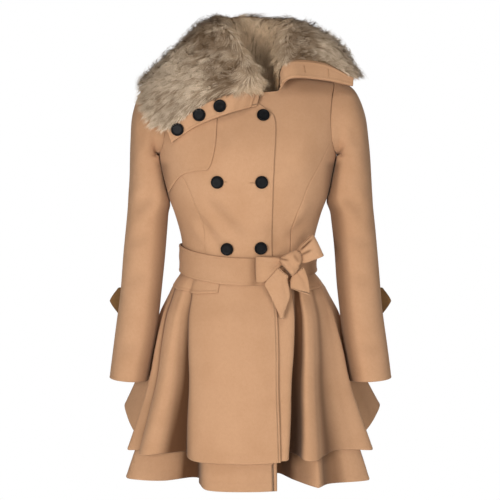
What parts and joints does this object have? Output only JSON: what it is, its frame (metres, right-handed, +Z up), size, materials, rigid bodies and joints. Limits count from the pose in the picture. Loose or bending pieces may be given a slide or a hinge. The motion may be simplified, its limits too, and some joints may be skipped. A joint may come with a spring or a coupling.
{
  "type": "trench coat",
  "caption": "Belted double-breasted swing coat of wool cloth, with a wide fur collar and a two-layer flared skirt, held hollow as if worn.",
  "frame": {"origin": "midway between the neck points of the two shoulder seams, where the wearer's shoulders hold the coat", "axes": "+Z up, front of the coat towards -Y, the wearer's left towards +X"},
  "size_m": [0.6002, 0.4341, 0.9746],
  "materials": {
    "coat_cloth": "soft brushed wool",
    "tab_cloth": "brushed wool, darker",
    "fur": "long soft pile",
    "buttons": "polished black"
  },
  "bodies": {
    "root": {"front_right": "coat_cloth", "front_left": "coat_cloth", "side_front_right": "coat_cloth", "side_front_left": "coat_cloth", "back_right": "coat_cloth", "back_left": "coat_cloth", "storm_flap": "coat_cloth", "sleeve_right": "coat_cloth", "sleeve_left": "coat_cloth", "sleeve_tab_right": "tab_cloth", "sleeve_tab_left": "tab_cloth", "skirt_upper_right": "coat_cloth", "skirt_upper_left": "coat_cloth", "skirt_upper_back": "coat_cloth", "skirt_lower_right": "coat_cloth", "skirt_lower_left": "coat_cloth", "skirt_lower_back": "coat_cloth", "pocket_flap_right": "coat_cloth", "pocket_flap_left": "coat_cloth", "belt": "coat_cloth", "bow_loop_right": "coat_cloth", "bow_loop_left": "coat_cloth", "belt_end_long": "coat_cloth", "belt_end_short": "coat_cloth", "bow_knot": "coat_cloth", "collar_cloth": "coat_cloth", "collar_fur": "fur", "collar_band_right": "coat_cloth", "collar_band_left": "coat_cloth", "front_button_1": "buttons", "front_button_2": "buttons", "front_button_3": "buttons", "front_button_4": "buttons", "front_button_5": "buttons", "collar_button_1": "buttons", "collar_button_2": "buttons", "collar_button_3": "buttons"}
  },
  "joints": []
}
